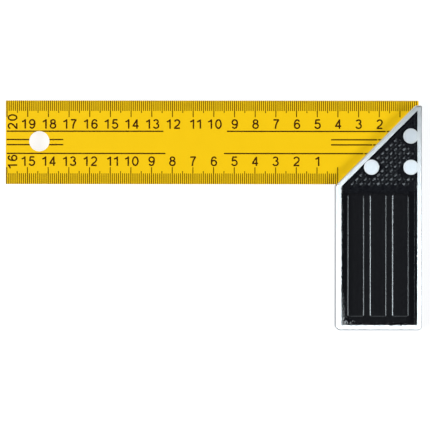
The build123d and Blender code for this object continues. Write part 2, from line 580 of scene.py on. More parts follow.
    def _covered(self, tree: Tree, where: Socket, clean: Socket, ragged: Socket) -> Socket:
        """Says where the belt left the enamel.

        Args:
            tree: The material's tree.
            where: The point.
            clean: How far it lies inside the edges that were cut clean, in metres.
            ragged: How far it lies inside the ragged ones.

        Returns:
            The share that is covered, from 0 to 1.
        """
        low, high = self.pattern_spread
        wander = add_node(tree, "ShaderNodeTexNoise", {
            "Vector": where, "Scale": 1.0 / (self.ragged_size * MM), "Detail": self.ragged_detail,
            "Roughness": self.pattern_grain}).outputs["Fac"]
        gaps = []
        for depth, reach in ((clean, self.clean_reach), (ragged, self.ragged_reach)):
            shift = add_node(tree, "ShaderNodeMapRange", {
                "Value": wander, "From Min": low, "From Max": high,
                "To Min": -reach / 2 * MM, "To Max": reach / 2 * MM})
            gaps.append(add_node(tree, "ShaderNodeMath", {0: depth, 1: shift.outputs[0]},
                                 operation="ADD").outputs[0])
        edge = add_node(tree, "ShaderNodeMath", {0: gaps[0], 1: gaps[1]}, operation="MINIMUM")
        return add_node(tree, "ShaderNodeMapRange", {
            "Value": edge.outputs[0], "From Min": -self.edge_softness / 2 * MM,
            "From Max": self.edge_softness / 2 * MM}).outputs[0]

    def _belted(self, tree: Tree, facing: Socket, covered: Socket) -> Socket:
        """Says where the belt ran: on the bare faces that lie level, fading out round their edges.

        Args:
            tree: The material's tree.
            facing: The direction that the surface faces.
            covered: Where the belt left the enamel.

        Returns:
            The share, from 0 to 1.
        """
        level = add_node(tree, "ShaderNodeSeparateXYZ", {0: facing}).outputs["Z"]
        size = add_node(tree, "ShaderNodeMath", {0: level}, operation="ABSOLUTE")
        share = add_node(tree, "ShaderNodeMapRange", {
            "Value": size.outputs[0], "From Min": self.belt_tilt[0], "From Max": self.belt_tilt[1]})
        return add_node(tree, "ShaderNodeMath", {0: share.outputs[0], 1: covered}, operation="SUBTRACT",
                        use_clamp=True).outputs[0]

    def _milled(self, tree: Tree, facing: Socket, covered: Socket) -> Socket:
        """Says where the cutter ran, on the inner and outer faces and round their edges, and where the zinc
        is painted darker, partly as painted shade.

        Args:
            tree: The material's tree.
            facing: The direction that the surface faces.
            covered: Where the belt left the enamel.

        Returns:
            The share, from 0 to 1.
        """
        size = add_node(tree, "ShaderNodeVectorMath", {0: facing}, operation="ABSOLUTE")
        parts = add_node(tree, "ShaderNodeSeparateXYZ", {0: size.outputs[0]}).outputs
        lean = add_node(tree, "ShaderNodeMath", {0: parts["X"], 1: parts["Y"]}, operation="SUBTRACT")
        share = add_node(tree, "ShaderNodeMapRange", {
            "Value": lean.outputs[0], "From Min": self.milled_lean[0], "From Max": self.milled_lean[1]})
        return add_node(tree, "ShaderNodeMath", {0: share.outputs[0], 1: covered}, operation="SUBTRACT",
                        use_clamp=True).outputs[0]

    def _toothed(self, tree: Tree, where: Socket, teeth_foot: float) -> Socket:
        """Says where the cast teeth stand: all the way from their foot to the tip.

        Args:
            tree: The material's tree.
            where: The point.
            teeth_foot: Where the teeth end along Y, in metres.

        Returns:
            The share, from 0 to 1.
        """
        along = add_node(tree, "ShaderNodeSeparateXYZ", {0: where}).outputs["Y"]
        return add_node(tree, "ShaderNodeMapRange", {
            "Value": along, "From Min": teeth_foot - self.teeth_blend * MM,
            "From Max": teeth_foot}).outputs[0]

    def _rubbed(self, tree: Tree, flat: Socket, corner: Vector) -> Socket:
        """Says how much more the enamel is rubbed the nearer a point lies to a corner.

        Args:
            tree: The material's tree.
            flat: The point, laid down on the bench.
            corner: The corner.

        Returns:
            The share that is added to the wear.
        """
        aside = add_node(tree, "ShaderNodeVectorMath", {0: flat, 1: corner}, operation="SUBTRACT")
        reach = (self.rub_reach[0] * MM, self.rub_reach[1] * MM, 1.0)
        steps = add_node(tree, "ShaderNodeVectorMath", {0: aside.outputs[0], 1: reach}, operation="DIVIDE")
        away = add_node(tree, "ShaderNodeVectorMath", {0: steps.outputs[0]}, operation="LENGTH")
        return add_node(tree, "ShaderNodeMapRange", {
            "Value": away.outputs["Value"], "To Min": self.rub_share, "To Max": 0.0}).outputs[0]

    def _worn(self, tree: Tree, where: Socket, depth: Socket, rubbed: Socket) -> Socket:
        """Scatters small bare specks over the enamel, thickest at the ragged edges and where it is rubbed.

        Args:
            tree: The material's tree.
            where: The point.
            depth: How far it lies inside the ragged edges, in metres.
            rubbed: How much more the enamel is rubbed there.

        Returns:
            The share that is bare, from 0 to 1.
        """
        fine = add_node(tree, "ShaderNodeTexNoise", {
            "Vector": where, "Scale": 1.0 / (self.speck_size * MM), "Detail": self.speck_detail,
            "Roughness": self.pattern_grain}).outputs["Fac"]
        speck = add_node(tree, "ShaderNodeMath", {0: fine, 1: rubbed}, operation="ADD").outputs[0]
        least = add_node(tree, "ShaderNodeMapRange", {
            "Value": depth, "From Min": 0.0, "From Max": self.speck_reach * MM,
            "To Min": self.speck_share[0], "To Max": self.speck_share[1]})
        over = add_node(tree, "ShaderNodeMath", {0: speck, 1: least.outputs[0]}, operation="SUBTRACT")
        return add_node(tree, "ShaderNodeMapRange", {
            "Value": over.outputs[0], "From Max": self.speck_softness}).outputs[0]


@dataclass(frozen=True)
class LacquerFinish:
    """Yellow stoving lacquer rolled on hardened steel strip, whose edges were cut bare afterwards.

    The lacquer is a warm even yellow with a soft gloss and a slight orange peel. The cut edges are plain,
    bright steel.
    """

    yellow: str = "#efba0a"
    yellow_thin: str = "#eab507"
    steel: str = "#b9bcbf"
    lacquer_roughness: float = 0.3
    lacquer_specular: float = 0.25
    steel_roughness: float = 0.42
    mottle_size: float = 9.0
    mottle_detail: float = 3.0
    peel_size: float = 0.8
    peel_detail: float = 1.0
    peel_height: float = 0.002
    edge_tilt: float = 0.5

    def material(self) -> bpy.types.Material:
        """Builds the blade's material.

        Returns:
            The material.
        """
        material, tree, where = new_material("yellow_lacquer_on_steel")
        normal = add_node(tree, "ShaderNodeNewGeometry", {}).outputs["True Normal"]
        upright = add_node(tree, "ShaderNodeSeparateXYZ", {0: normal}).outputs["Z"]
        level = add_node(tree, "ShaderNodeMath", {0: upright}, operation="ABSOLUTE").outputs[0]
        bare = add_node(tree, "ShaderNodeMath", {0: level, 1: self.edge_tilt},
                        operation="LESS_THAN").outputs[0]
        mottle = add_node(tree, "ShaderNodeTexNoise", {
            "Vector": where, "Scale": 1.0 / (self.mottle_size * MM),
            "Detail": self.mottle_detail}).outputs["Fac"]
        peel = add_node(tree, "ShaderNodeTexNoise", {
            "Vector": where, "Scale": 1.0 / (self.peel_size * MM), "Detail": self.peel_detail}).outputs["Fac"]
        lacquer = add_node(tree, "ShaderNodeMix", {
            0: mottle, 6: linear(self.yellow), 7: linear(self.yellow_thin)}, data_type="RGBA")
        colour = add_node(tree, "ShaderNodeMix", {0: bare, 6: lacquer.outputs[2], 7: linear(self.steel)},
                          data_type="RGBA")
        rough = add_node(tree, "ShaderNodeMix", {0: bare, 2: self.lacquer_roughness, 3: self.steel_roughness})
        height = add_node(tree, "ShaderNodeMath", {0: peel, 1: self.peel_height * MM}, operation="MULTIPLY")
        bump = add_node(tree, "ShaderNodeBump", {"Height": height.outputs[0], "Distance": 1.0})
        wire(tree, tree.nodes["Principled BSDF"], {
            "Base Color": colour.outputs[2],
            "Roughness": rough.outputs[0],
            "Metallic": bare,
            "Normal": bump.outputs[0],
            "Specular IOR Level": self.lacquer_specular,
        })
        return material


@dataclass(frozen=True)
class InkFinish:
    """Brown-black stoving ink, screen printed on the lacquer: nearly matt, a little thin in places."""

    solid: str = "#371902"
    thin: str = "#462204"
    roughness: float = 0.6
    specular: float = 0.05
    patch_size: float = 0.7
    patch_detail: float = 2.0

    def material(self) -> bpy.types.Material:
        """Builds the ink's material.

        Returns:
            The material.
        """
        material, tree, where = new_material("screen_printed_ink")
        patch = add_node(tree, "ShaderNodeTexNoise", {
            "Vector": where, "Scale": 1.0 / (self.patch_size * MM),
            "Detail": self.patch_detail}).outputs["Fac"]
        colour = add_node(tree, "ShaderNodeMix", {0: patch, 6: linear(self.solid), 7: linear(self.thin)},
                          data_type="RGBA")
        wire(tree, tree.nodes["Principled BSDF"], {
            "Base Color": colour.outputs[2],
            "Roughness": self.roughness,
            "Specular IOR Level": self.specular,
        })
        return material


@dataclass(frozen=True)
class RivetFinish:
    """Soft steel rivets, set and then linished flush with the casting: pale, satin and finely grooved.

    As on the stock, the grooves are much coarser than the real ones, so that they show.
    """

    steel: str = "#d4d4d6"
    groove_steel: str = "#c2c3c6"
    roughness: tuple[float, float] = (0.27, 0.295)
    groove_stretch: float = 1.0
    belt_run: Size = (0.01, 1.0, 0.05)
    groove_size: Size = (0.4, 3.0, 0.4)
    groove_grain: float = 0.5
    groove_depth: float = 0.002

    def material(self) -> bpy.types.Material:
        """Builds the rivets' material.

        Returns:
            The material.
        """
        material, tree, where = new_material("linished_rivet_steel")
        groove = grooves(tree, where, self.groove_size, self.groove_grain)
        colour = add_node(tree, "ShaderNodeMix", {
            0: groove, 6: linear(self.groove_steel), 7: linear(self.steel)}, data_type="RGBA")
        rough = add_node(tree, "ShaderNodeMapRange", {
            "Value": groove, "To Min": self.roughness[1], "To Max": self.roughness[0]})
        height = add_node(tree, "ShaderNodeMath", {0: groove, 1: self.groove_depth * MM},
                          operation="MULTIPLY")
        bump = add_node(tree, "ShaderNodeBump", {"Height": height.outputs[0], "Distance": 1.0})
        facing = add_node(tree, "ShaderNodeNewGeometry", {}).outputs["Normal"]
        across = add_node(tree, "ShaderNodeVectorMath", {0: self.belt_run, 1: facing},
                          operation="CROSS_PRODUCT")
        wire(tree, tree.nodes["Principled BSDF"], {
            "Base Color": colour.outputs[2],
            "Roughness": rough.outputs[0],
            "Normal": bump.outputs[0],
            "Tangent": across.outputs[0],
            "Metallic": 1.0,
            "Anisotropic": self.groove_stretch,
        })
        return material


@dataclass
class Stock:
    """The cast stock and the rivets that hold the blade in it, as packed, with their finishes.

    Args:
        bench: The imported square.
        rim_outer: Width of the bare rim along the outer face.
        rim_inner: Width of the rim along the inner face.
        rim_foot: Width of the rim along the foot.
        rim_mitre: Width of the rim along the mitre.
        mitre_lead: How far above the outer corner the mitre would meet the outer face.
        recess_depth: Depth of the recess in each face.
        boss_radius: Radius of the bosses that carry the rivets.
        tooth_pitch: Distance from one cast tooth to the next along a row.
        tooth_turn: How far the teeth are turned from square to the stock, in degrees.
        tooth_in: How far in one of the teeth stands.
        tooth_down: How far down it stands.
        teeth_down: How far down the teeth reach.
        casting: The stock's finish.
        riveting: The rivets' finish.
    """

    bench: Bench
    rim_outer: float = 2.2
    rim_inner: float = 2.55
    rim_foot: float = 2.55
    rim_mitre: float = 2.25
    mitre_lead: float = 0.34
    recess_depth: float = 1.2
    boss_radius: float = 3.65
    tooth_pitch: float = 4.15
    tooth_turn: float = 45.0
    tooth_in: float = 20.08
    tooth_down: float = 40.285
    teeth_down: float = 43.5
    casting: StockFinish = field(default_factory=StockFinish)
    riveting: RivetFinish = field(default_factory=RivetFinish)

    def rivets(self) -> list[str]:
        """Names the rivets' nodes."""
        return sorted(name for name in self.bench.nodes if name.startswith("rivet"))

    def bosses(self) -> list[Boss]:
        """Lists the bosses round the rivets.

        Returns:
            Each boss's centre on the bench and its radius, in metres.
        """
        spots = []
        for name in self.rivets():
            low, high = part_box(name)
            centre = (low + high) / 2
            spots.append((Vector((centre.x, centre.y, 0.0)), self.boss_radius * MM))
        return spots

    def form(self) -> CastForm:
        """Says where the forms of the stock's faces lie.

        Returns:
            Those forms.
        """
        low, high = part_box("stock")
        half = (high.z - low.z) / 2
        inner = low.x + self.rim_inner * MM
        foot = low.y + self.rim_foot * MM
        off_mitre = Vector((1.0, -1.0, 0.0)).normalized()
        outer_corner = Vector((self.bench.high.x, self.bench.high.y, 0.0))
        mitre = off_mitre.dot(outer_corner) + (self.rim_mitre - self.mitre_lead * off_mitre.x) * MM
        return CastForm(
            outer=(Vector((-1.0, 0.0, 0.0)), self.rim_outer * MM - high.x),
            inner=(Vector((1.0, 0.0, 0.0)), inner),
            foot=(Vector((0.0, 1.0, 0.0)), foot),
            mitre=(off_mitre, mitre),
            bosses=self.bosses(),
            corner=Vector((inner, foot, 0.0)),
            middle=low.z + half,
            floor=half - self.recess_depth * MM,
            tooth=self.bench.place(self.tooth_in, self.tooth_down),
            tooth_pitch=self.tooth_pitch * MM,
            tooth_turn=self.tooth_turn,
            teeth_foot=self.bench.high.y - self.teeth_down * MM,
        )

    def dress(self) -> list[bpy.types.Object]:
        """Gives the stock and its rivets their finishes.

        Returns:
            The stock and the rivets.
        """
        stock = self.bench.nodes["stock"]
        stock.data.materials[0] = self.casting.material(self.form())
        steel = self.riveting.material()
        pieces = [stock]
        for name in self.rivets():
            self.bench.nodes[name].data.materials[0] = steel
            pieces.append(self.bench.nodes[name])
        return pieces


@dataclass(frozen=True)
class Arc:
    """A round stroke of a numeral: part of an ellipse, from one angle to another.

    Args:
        centre: Middle of the ellipse, in cap heights.
        radii: Half its width and half its height.
        start: Angle where the stroke starts, in degrees from the right, counter-clockwise.
        end: Angle where it ends.
    """

    centre: Point
    radii: Point
    start: float
    end: float

    def points(self, step: float = 12.0) -> list[Vector]:
        """Gives points along the stroke.

        Args:
            step: About how many degrees apart they lie.

        Returns:
            The points, from its start to its end.
        """
        count = max(2, math.ceil(abs(self.end - self.start) / step))
        angles = [math.radians(self.start + (self.end - self.start) * n / count) for n in range(count + 1)]
        return [Vector((self.centre[0] + self.radii[0] * math.cos(angle),
                        self.centre[1] + self.radii[1] * math.sin(angle))) for angle in angles]


@dataclass(frozen=True)
class Run:
    """A straight or bent stroke of a numeral.

    Args:
        corners: Its points from end to end, in cap heights.
    """

    corners: tuple[Point, ...]

    def points(self) -> list[Vector]:
        """Gives the stroke's corners."""
        return [Vector(corner) for corner in self.corners]


Stroke = Arc | Run


@dataclass(frozen=True)
class Numerals:
    """Plain upright sans-serif numerals, drawn as strokes round a middle line, one cap height tall.

    Args:
        cap_height: Height of a numeral.
        breadth: How much broader the numerals are set than they are drawn.
        stroke_width: Width of their strokes.
        advance: Distance from the middle of one numeral to the middle of the next.
        ones_advance: That distance from a 1 to another 1, which stand closer.
        ones_shift: How far such a pair stands to the right.
    """

    cap_height: float = 4.55
    breadth: float = 1.03
    stroke_width: float = 0.74
    advance: float = 4.1
    ones_advance: float = 3.32
    ones_shift: float = 0.95

    def strokes(self) -> dict[str, tuple[Stroke, ...]]:
        """Draws each numeral with its middle at 0 and its foot at 0.

        Returns:
            The numerals' strokes by digit, in cap heights.
        """
        six = (
            Arc((0.015, 0.318), (0.255, 0.262), 0, 360),
            Arc((0.03, 0.47), (0.272, 0.474), 195, 92),
            Arc((0.02, 0.72), (0.222, 0.224), 95, 12),
        )
        return {
            "0": (Arc((0.0, 0.5), (0.27, 0.444), 0, 360),),
            "1": (Run(((0.15, 0.0), (0.15, 1.0))), Run(((0.16, 0.93), (0.005, 0.81), (-0.185, 0.73)))),
            "2": (
                Arc((0.0, 0.685), (0.255, 0.26), 165, -30),
                Run(((0.221, 0.555), (0.11, 0.4), (-0.14, 0.2), (-0.25, 0.06))),
                Run(((-0.31, 0.056), (0.285, 0.056))),
            ),
            "3": (
                Arc((-0.044, 0.742), (0.222, 0.202), 165, -88),
                Arc((-0.04, 0.297), (0.266, 0.241), 88, -165),
            ),
            "4": (
                Run(((0.125, 0.0), (0.125, 1.0))),
                Run(((0.13, 0.96), (-0.275, 0.29))),
                Run(((-0.325, 0.285), (0.3, 0.285))),
            ),
            "5": (
                Run(((-0.2, 0.944), (0.25, 0.944))),
                Run(((-0.165, 0.95), (-0.225, 0.5))),
                Arc((-0.012, 0.335), (0.272, 0.279), 143, -163),
            ),
            "6": six,
            "7": (
                Run(((-0.29, 0.944), (0.29, 0.944))),
                Run(((0.255, 0.93), (0.09, 0.7), (-0.03, 0.4), (-0.085, 0.0))),
            ),
            "8": (
                Arc((0.0, 0.745), (0.212, 0.199), 0, 360),
                Arc((0.0, 0.3), (0.265, 0.244), 0, 360),
            ),
            "9": tuple(
                Arc((-arc.centre[0], 1.0 - arc.centre[1]), arc.radii, arc.start + 180, arc.end + 180)
                for arc in six
            ),
        }

    def word(self, digits: str) -> Iterator[list[Vector]]:
        """Draws a number with its middle at 0 and its foot at 0.

        Args:
            digits: The number's digits.

        Yields:
            Each stroke's points, in millimetres.
        """
        shapes = self.strokes()
        advance, shift = (self.ones_advance, self.ones_shift) if digits == "11" else (self.advance, 0.0)
        broad = self.cap_height * self.breadth
        for place, digit in enumerate(digits):
            middle = (place - (len(digits) - 1) / 2) * advance + shift
            for stroke in shapes[digit]:
                yield [Vector((p.x * broad + middle, p.y * self.cap_height)) for p in stroke.points()]


@dataclass(frozen=True)
class InkFilm:
    """A film of ink as a thin closed solid, half sunk in the lacquer so that its underside never shows.

    Args:
        thickness: Full thickness of the solid.
        merge: Distance under which points of two strokes become one.
        mitre_limit: Least cosine of half a bend that its mitre is worked out with.
    """

    thickness: float = 0.03
    merge: float = 1e-5
    mitre_limit: float = 0.5

    def ribbon(self, points: list[Vector], width: float) -> list[list[Vector]]:
        """Widens a stroke's line into quads, mitred where it bends.

        Args:
            points: The line's points.
            width: The stroke's width.

        Returns:
            The quads, each as four corners in counter-clockwise order.
        """
        closed = (points[0] - points[-1]).length < self.merge
        sides = []
        for index, point in enumerate(points):
            before = points[index - 1] if index else (points[-2] if closed else None)
            after = points[index + 1] if index + 1 < len(points) else (points[1] if closed else None)
            steps = [step.normalized() for step in (
                point - before if before is not None else None,
                after - point if after is not None else None,
            ) if step is not None]
            heading = sum(steps, Vector((0.0, 0.0))).normalized()
            reach = width / 2 / max(self.mitre_limit, heading.dot(steps[0]))
            aside = Vector((-heading.y, heading.x)) * reach
            sides.append((point - aside, point + aside))
        return [[right, right_next, left_next, left]
                for (right, left), (right_next, left_next) in zip(sides, sides[1:])]

    def solid(self, name: str, quads: list[list[Vector]], hole: list[Vector] | None = None) -> bpy.types.Mesh:
        """Joins overlapping quads into one flat shape and gives it a thickness.

        Args:
            name: The mesh's name.
            quads: The quads, in millimetres.
            hole: An outline that nothing is printed inside of, in counter-clockwise order.

        Returns:
            A closed mesh in metres, level with height 0 through its middle.
        """
        corners = []
        faces = []
        for outline in quads + ([hole] if hole else []):
            faces.append(list(range(len(corners), len(corners) + len(outline))))
            corners += outline
        flat = delaunay_2d_cdt(corners, [], faces, 1, self.merge)
        printed = set(range(len(quads)))
        shape = bmesh.new()
        half = self.thickness / 2 * MM
        top = [shape.verts.new((p.x * MM, p.y * MM, half)) for p in flat[0]]
        under = [shape.verts.new((p.x * MM, p.y * MM, -half)) for p in flat[0]]
        kept = [triangle for triangle, sources in zip(flat[2], flat[5])
                if sources and printed.issuperset(sources)]
        border = {(a, b) for triangle in kept for a, b in zip(triangle, triangle[1:] + triangle[:1])}
        for triangle in kept:
            shape.faces.new([top[index] for index in triangle])
            shape.faces.new([under[index] for index in reversed(triangle)])
        for a, b in border:
            if (b, a) not in border:
                shape.faces.new((top[b], top[a], under[a], under[b]))
        bmesh.ops.delete(shape, geom=[v for v in shape.verts if not v.link_faces], context="VERTS")
        mesh = bpy.data.meshes.new(name)
        shape.to_mesh(mesh)
        shape.free()
        return mesh


@dataclass(frozen=True)
class TickMarks:
    """A row of millimetre marks, made by one geometry tree, with longer marks at regular steps.

    Args:
        first: The first mark's number, counted from the scale's zero.
        count: How many marks.
        short: Length of a plain mark.
        middle: Length of a middling mark.
        long: Length of a long mark.
        pitch: Distance from mark to mark.
        width: Width of a mark.
        long_width: Width of a long mark.
        thickness: Thickness of the ink.
        middle_step: How many marks from one middling mark to the next.
        long_step: How many marks from one long mark to the next.
    """

    first: int
    count: int
    short: float
    middle: float
    long: float
    pitch: float = 1.0
    width: float = 0.39
    long_width: float = 0.44
    thickness: float = 0.03
    middle_step: int = 5
    long_step: int = 10

    COUNTS: ClassVar[tuple[str, ...]] = ("first", "count", "middle_step", "long_step")
    SIZES: ClassVar[tuple[str, ...]] = (
        "pitch", "short", "middle", "long", "width", "long_width", "thickness")

    def tree(self) -> tuple[Tree, dict[str, str]]:
        """Builds the geometry tree.

        Returns:
            The tree, and the identifier of each of its inputs by the input's name.
        """
        tree = bpy.data.node_groups.new("tick_marks", "GeometryNodeTree")
        sockets = {}
        for name in self.COUNTS:
            sockets[name] = tree.interface.new_socket(name, in_out="INPUT", socket_type="NodeSocketInt")
        for name in self.SIZES:
            sockets[name] = tree.interface.new_socket(name, in_out="INPUT", socket_type="NodeSocketFloat")
        sockets["ink"] = tree.interface.new_socket("ink", in_out="INPUT", socket_type="NodeSocketMaterial")
        tree.interface.new_socket("marks", in_out="OUTPUT", socket_type="NodeSocketGeometry")
        given = tree.nodes.new("NodeGroupInput").outputs
        step = add_node(tree, "ShaderNodeVectorMath", {0: (-1.0, 0.0, 0.0), "Scale": given["pitch"]},
                        operation="SCALE")
        start = add_node(tree, "ShaderNodeVectorMath", {0: step.outputs[0], "Scale": given["first"]},
                         operation="SCALE")
        row = add_node(tree, "GeometryNodeMeshLine", {
            "Count": given["count"], "Start Location": start.outputs[0], "Offset": step.outputs[0]})
        index = add_node(tree, "GeometryNodeInputIndex", {}).outputs[0]
        number = add_node(tree, "ShaderNodeMath", {0: index, 1: given["first"]}, operation="ADD").outputs[0]
        middling = self._each(tree, number, given["middle_step"])
        longest = self._each(tree, number, given["long_step"])
        length = add_node(tree, "GeometryNodeSwitch", {
            "Switch": middling, "False": given["short"], "True": given["middle"]}, input_type="FLOAT")
        length = add_node(tree, "GeometryNodeSwitch", {
            "Switch": longest, "False": length.outputs[0], "True": given["long"]}, input_type="FLOAT")
        width = add_node(tree, "GeometryNodeSwitch", {
            "Switch": longest, "False": given["width"], "True": given["long_width"]}, input_type="FLOAT")
        half = add_node(tree, "ShaderNodeVectorMath", {0: (0.0, -0.5, 0.0), "Scale": length.outputs[0]},
                        operation="SCALE")
        placed = add_node(tree, "GeometryNodeSetPosition", {
            "Geometry": row.outputs["Mesh"], "Offset": half.outputs[0]})
        size = add_node(tree, "ShaderNodeCombineXYZ", {
            "X": width.outputs[0], "Y": length.outputs[0], "Z": given["thickness"]})
        mark = add_node(tree, "GeometryNodeMeshCube", {"Size": (1.0, 1.0, 1.0)})
        marks = add_node(tree, "GeometryNodeInstanceOnPoints", {
            "Points": placed.outputs[0], "Instance": mark.outputs["Mesh"], "Scale": size.outputs[0]})
        whole = add_node(tree, "GeometryNodeRealizeInstances", {"Geometry": marks.outputs[0]})
        inked = add_node(tree, "GeometryNodeSetMaterial", {
            "Geometry": whole.outputs[0], "Material": given["ink"]})
        add_node(tree, "NodeGroupOutput", {"marks": inked.outputs[0]})
        return tree, {name: socket.identifier for name, socket in sockets.items()}

    @staticmethod
    def _each(tree: Tree, number: Socket, step: Socket) -> Socket:
        """Says whether a mark's number is a whole multiple of a step."""
        rest = add_node(tree, "ShaderNodeMath", {0: number, 1: step}, operation="MODULO").outputs[0]
        return add_node(tree, "ShaderNodeMath", {0: rest, 1: 0.5}, operation="LESS_THAN").outputs[0]

    def mesh(self, name: str, ink: bpy.types.Material) -> bpy.types.Mesh:
        """Makes the row as a plain mesh, with the scale's zero at the origin and its marks along -X.

        Args:
            name: The mesh's name.
            ink: The marks' material.

        Returns:
            The mesh, in metres, with the marks' outer ends along the X axis.
        """
        tree, inputs = self.tree()
        holder = add_object(name, bpy.data.meshes.new(name))
        modifier = holder.modifiers.new("tick_marks", "NODES")
        modifier.node_group = tree
        for number in self.COUNTS:
            modifier[inputs[number]] = getattr(self, number)
        for size in self.SIZES:
            modifier[inputs[size]] = getattr(self, size) * MM
        modifier[inputs["ink"]] = ink
        depsgraph = bpy.context.evaluated_depsgraph_get()
        mesh = bpy.data.meshes.new_from_object(holder.evaluated_get(depsgraph), depsgraph=depsgraph)
        bpy.data.objects.remove(holder)
        return mesh


@dataclass(frozen=True)
class Scale:
    """One printed centimetre scale along an edge of the blade.

    Args:
        edge: The edge that the marks stand on.
        zero: How far in its zero lies.
        first_label: The first centimetre that has a number.
        last_label: The last centimetre, whose number is turned to read up the blade's end.
        marks: The row of marks.
        foot_down: How far down the numbers stand.
        label_shift: How far the numbers stand from their marks, towards the stock.
        turned_foot_in: How far in the turned number stands.
        turned_middle_down: How far down the turned number's middle lies.
    """

    edge: Edge
    zero: float
    first_label: int
    last_label: int
    marks: TickMarks
    foot_down: float
    label_shift: float
    turned_foot_in: float
    turned_middle_down: float


@dataclass(frozen=True)
class RuleLine:
    """A straight printed line along the blade.

    Args:
        down: How far down its middle lies.
        start: How far in it starts, at its end nearer to the stock.
        end: How far in it ends.
    """

    down: float
    start: float
    end: float


@dataclass
class Blade:
    """The lacquered blade and what is printed on its two faces.

    Args:
        bench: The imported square.
        rule_width: Width of the printed lines.
        rules_down: How far down the two long rules lie, each with the place in it that is left open.
        pins_down: How far down the two short lines lie.
        pins_stock_end: How far in the short lines end that start at the stock.
        pins_free_end: How far in those end that start at the blade's free end.
        hole_radius: Radius of the hanging hole.
        hole_in: How far in that hole lies.
        hole_down: How far down it lies.
        hole_gap: Room between a printed line and the hole.
        under_stock: How far a line goes on under the stock's cheek.
        scuff_back: How far in front of the mitre the lines are rubbed through.
        scuff_width: How much of each line is rubbed away there.
        line_inset: How far the lines stop short of the blade's free end.
        hole_step: How far apart the points round the hole lie that stop the lines, in degrees.
        lacquer: The blade's finish.
        ink: The printing's finish.
        film: The ink's thickness and how strokes are joined.
        numerals: The form of the numbers.
        scales: The scale along each edge.
    """

    bench: Bench
    rule_width: float = 0.64
    rules_down: tuple[tuple[float, float, float], ...] = ((14.84, 93.7, 124.4), (25.57, 95.1, 123.4))
    pins_down: tuple[float, ...] = (18.88, 21.35)
    pins_stock_end: float = 43.3
    pins_free_end: float = 172.8
    hole_radius: float = 4.9
    hole_in: float = 184.4
    hole_down: float = 19.7
    hole_gap: float = 0.1
    under_stock: float = 1.5
    scuff_back: float = 1.85
    scuff_width: float = 0.4
    line_inset: float = 0.4
    hole_step: float = 6.0
    lacquer: LacquerFinish = field(default_factory=LacquerFinish)
    ink: InkFinish = field(default_factory=InkFinish)
    film: InkFilm = field(default_factory=InkFilm)
    numerals: Numerals = field(default_factory=Numerals)
    scales: tuple[Scale, ...] = (
        Scale(Edge.OUTER, 0.0, 2, 20, TickMarks(2, 199, 5.0, 6.0, 8.0), foot_down=13.6, label_shift=0.17,
              turned_foot_in=195.05, turned_middle_down=10.3),
        Scale(Edge.INNER, 40.1, 1, 16, TickMarks(0, 161, 5.2, 6.3, 8.2), foot_down=31.6, label_shift=0.1,
              turned_foot_in=195.05, turned_middle_down=29.9),
    )

    def free_end(self) -> float:
        """How far in the blade's free end lies."""
        return (self.bench.high.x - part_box("blade")[0].x) / MM

    def face_height(self, face: Face) -> float:
        """How high one of the blade's faces lies."""
        low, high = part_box("blade")
        return (high.z if face is Face.FRONT else low.z) / MM

    def onto(self, face: Face, inward: float, down: float, turn: float = 0.0) -> Matrix:
        """Gives the move from a flat drawing to a spot on one of the faces.

        Args:
            face: The face that is printed.
            inward: How far in the drawing's origin goes.
            down: How far down it goes.
            turn: How far the drawing is turned, in degrees counter-clockwise as that face is read.

        Returns:
            The move, in metres.
        """
        spot = self.bench.place(inward, down, self.face_height(face))
        over = Matrix.Identity(4) if face is Face.FRONT else Matrix.Rotation(math.pi, 4, "Y")
        return Matrix.Translation(spot) @ over @ Matrix.Rotation(math.radians(turn), 4, "Z")

    def lines(self) -> list[RuleLine]:
        """Lists the printed lines, broken at the open places and where the stock rubbed them.

        Returns:
            The lines.
        """
        end = self.free_end() - self.line_inset
        pieces = []
        for down, open_from, open_to in self.rules_down:
            pieces += [(down, self._from_stock(down), open_from), (down, open_to, end)]
        for down in self.pins_down:
            pieces += [(down, self._from_stock(down), self.pins_stock_end), (down, self.pins_free_end, end)]
        lines = []
        for down, start, finish in pieces:
            rubbed = down + self.scuff_back
            if start < rubbed < finish:
                lines.append(RuleLine(down, start, rubbed - self.scuff_width / 2))
                start = rubbed + self.scuff_width / 2
            lines.append(RuleLine(down, start, finish))
        return lines

    def _from_stock(self, down: float) -> float:
        """How far in a line starts, a little way under the stock's mitred cheek."""
        return down - self.under_stock

    def print_lines(self, face: Face, ink: bpy.types.Material) -> bpy.types.Object:
        """Prints the straight lines on a face.

        Args:
            face: The face.
            ink: The ink's material.

        Returns:
            The lines as one piece.
        """
        quads = []
        for line in self.lines():
            ends = [Vector((-line.end, -line.down)), Vector((-line.start, -line.down))]
            quads += self.film.ribbon(ends, self.rule_width)
        reach = self.hole_radius + self.hole_gap
        hole = Arc((-self.hole_in, -self.hole_down), (reach, reach), 0, 360).points(self.hole_step)[:-1]
        mesh = self.film.solid("lines", quads, hole)
        return self._print(f"printed_lines_{face.value}", [(mesh, self._drawn_in_place(face))], ink)

    def _drawn_in_place(self, face: Face) -> Matrix:
        """Gives the move, in metres, for a drawing that already lies in place from the outer corner."""
        return Matrix.Translation(self.bench.place(0.0, 0.0, self.face_height(face)))

    def print_marks(self, face: Face, ink: bpy.types.Material) -> bpy.types.Object:
        """Prints both rows of marks on a face.

        Args:
            face: The face.
            ink: The ink's material.

        Returns:
            The marks as one piece.
        """
        rows = []
        bottom = (self.bench.high.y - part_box("blade")[0].y) / MM
        for scale in self.scales:
            mesh = scale.marks.mesh(f"marks_{scale.edge.value}", ink)
            down = 0.0 if scale.edge is Edge.OUTER else bottom
            spot = self._drawn_in_place(face) @ Matrix.Translation((-scale.zero * MM, -down * MM, 0.0))
            up = Matrix.Identity(4) if scale.edge is Edge.OUTER else Matrix.Rotation(math.pi, 4, "X")
            rows.append((mesh, spot @ up))
        return self._print(f"scale_marks_{face.value}", rows, ink)

